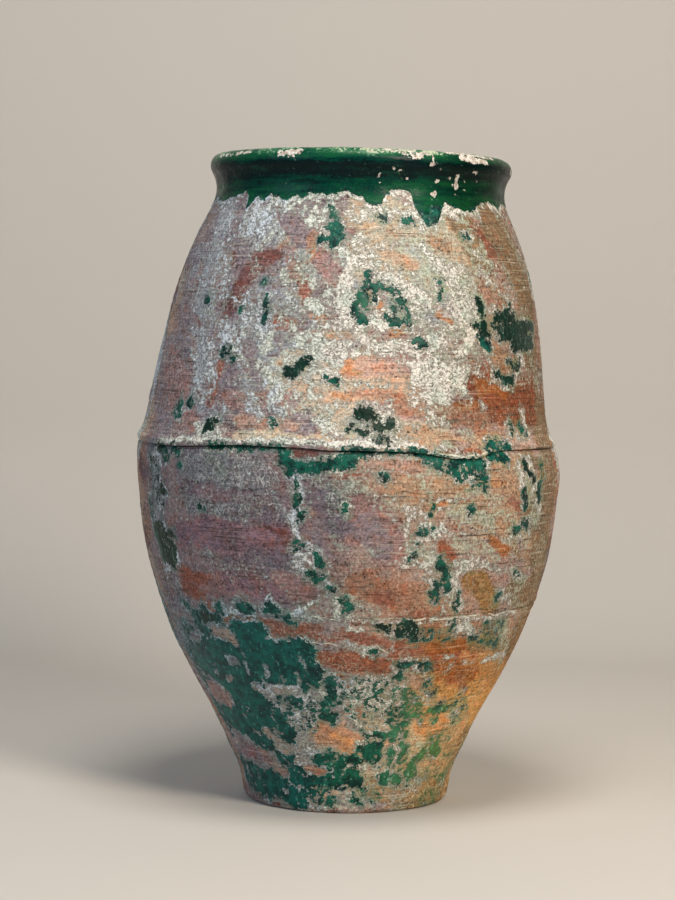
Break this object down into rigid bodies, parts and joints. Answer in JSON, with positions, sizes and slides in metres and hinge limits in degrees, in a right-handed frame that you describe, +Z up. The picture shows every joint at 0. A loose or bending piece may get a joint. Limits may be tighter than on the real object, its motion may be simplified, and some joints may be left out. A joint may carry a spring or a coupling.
{
  "type": "olive jar",
  "caption": "Tall hand-built clay storage jar, closed in by stacked drums to a neck with a rolled rim, open at the top and standing on a narrow flat foot.",
  "frame": {"origin": "centre of the foot's underside, on the ground, under the widest ring of the belly", "axes": "+Z up along the jar's height; +X the side that the upper drum leans to; -Y the side seen in the picture"},
  "size_m": [0.6291, 0.629, 0.9546],
  "materials": {
    "fired_clay": "matte",
    "green_glaze": "gloss",
    "honey_glaze": "gloss"
  },
  "bodies": {
    "root": {"base_slab": "fired_clay", "corner_coil": "fired_clay", "lower_drum": "fired_clay", "lower_seam_coil": "fired_clay", "belly_drum": "fired_clay", "ridge_coil": "fired_clay", "shoulder_drum": "fired_clay", "neck_seam_coil": "fired_clay", "rim_collar": "fired_clay", "rim_glaze": "green_glaze", "interior_glaze": "honey_glaze"}
  },
  "joints": []
}
